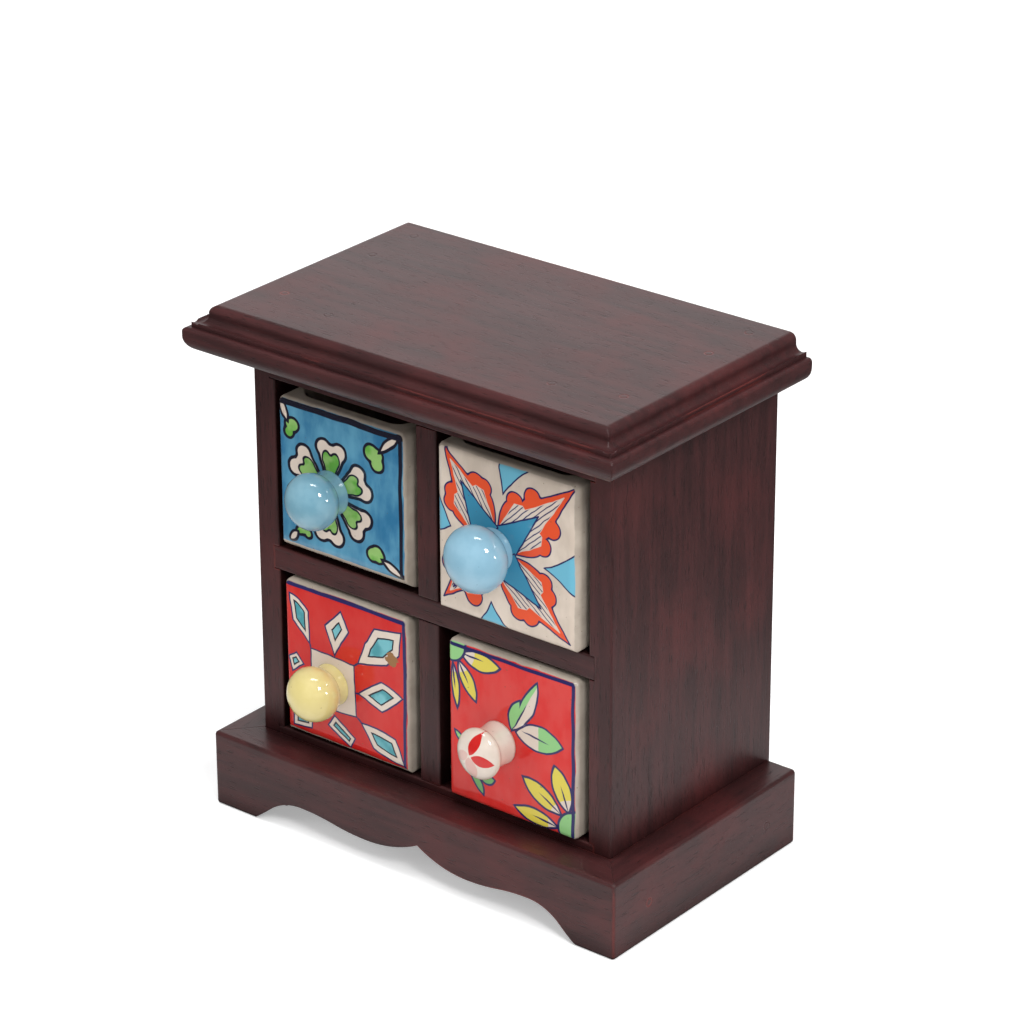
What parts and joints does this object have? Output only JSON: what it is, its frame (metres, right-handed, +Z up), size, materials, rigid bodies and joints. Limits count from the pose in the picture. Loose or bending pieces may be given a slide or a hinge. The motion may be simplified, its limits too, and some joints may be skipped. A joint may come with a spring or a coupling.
{
  "type": "tabletop chest of drawers",
  "caption": "Small wooden chest with a moulded top, a scalloped plinth and glazed ceramic drawers with round knobs.",
  "frame": {"origin": "centre of the base, on the plane that the chest stands on", "axes": "+X to the right along the front, +Y from the front to the back, +Z up"},
  "size_m": [0.1552, 0.0952, 0.1622],
  "materials": {
    "mahogany": "satin lacquer",
    "back_board": "stained, matt",
    "filler": "stained putty",
    "upper_left_glaze": "gloss, hand painted",
    "upper_right_glaze": "gloss, hand painted",
    "lower_left_glaze": "gloss, hand painted",
    "lower_right_glaze": "gloss, hand painted",
    "upper_left_knob_glaze": "gloss",
    "upper_right_knob_glaze": "gloss",
    "lower_left_knob_glaze": "gloss",
    "lower_right_knob_glaze": "gloss",
    "steel": "bright zinc"
  },
  "bodies": {
    "carcass": {"top_board": "mahogany", "inner_top": "mahogany", "left_side": "mahogany", "right_side": "mahogany", "centre_divider": "mahogany", "shelf": "mahogany", "floor_board": "mahogany", "back_panel": "back_board", "plinth_front": "mahogany", "plinth_left": "mahogany", "plinth_right": "mahogany", "plinth_back": "mahogany", "top_nails": "steel", "plinth_nails": "steel", "back_pins": "steel", "nail_fillers": "filler"},
    "upper_left_drawer_body": {"upper_left_drawer": "upper_left_glaze", "upper_left_knob": "upper_left_knob_glaze", "upper_left_stud": "steel", "upper_left_washer": "steel", "upper_left_nut": "steel"},
    "upper_right_drawer_body": {"upper_right_drawer": "upper_right_glaze", "upper_right_knob": "upper_right_knob_glaze", "upper_right_stud": "steel", "upper_right_washer": "steel", "upper_right_nut": "steel"},
    "lower_left_drawer_body": {"lower_left_drawer": "lower_left_glaze", "lower_left_knob": "lower_left_knob_glaze", "lower_left_stud": "steel", "lower_left_washer": "steel", "lower_left_nut": "steel"},
    "lower_right_drawer_body": {"lower_right_drawer": "lower_right_glaze", "lower_right_knob": "lower_right_knob_glaze", "lower_right_stud": "steel", "lower_right_washer": "steel", "lower_right_nut": "steel"}
  },
  "joints": [
    {"name": "upper_left_slide", "type": "slide", "parent": "carcass", "child": "upper_left_drawer_body", "axis": [0, -1, 0], "range_m": [0, 0.06]},
    {"name": "upper_right_slide", "type": "slide", "parent": "carcass", "child": "upper_right_drawer_body", "axis": [0, -1, 0], "range_m": [0, 0.06]},
    {"name": "lower_left_slide", "type": "slide", "parent": "carcass", "child": "lower_left_drawer_body", "axis": [0, -1, 0], "range_m": [0, 0.06]},
    {"name": "lower_right_slide", "type": "slide", "parent": "carcass", "child": "lower_right_drawer_body", "axis": [0, -1, 0], "range_m": [0, 0.06]}
  ]
}
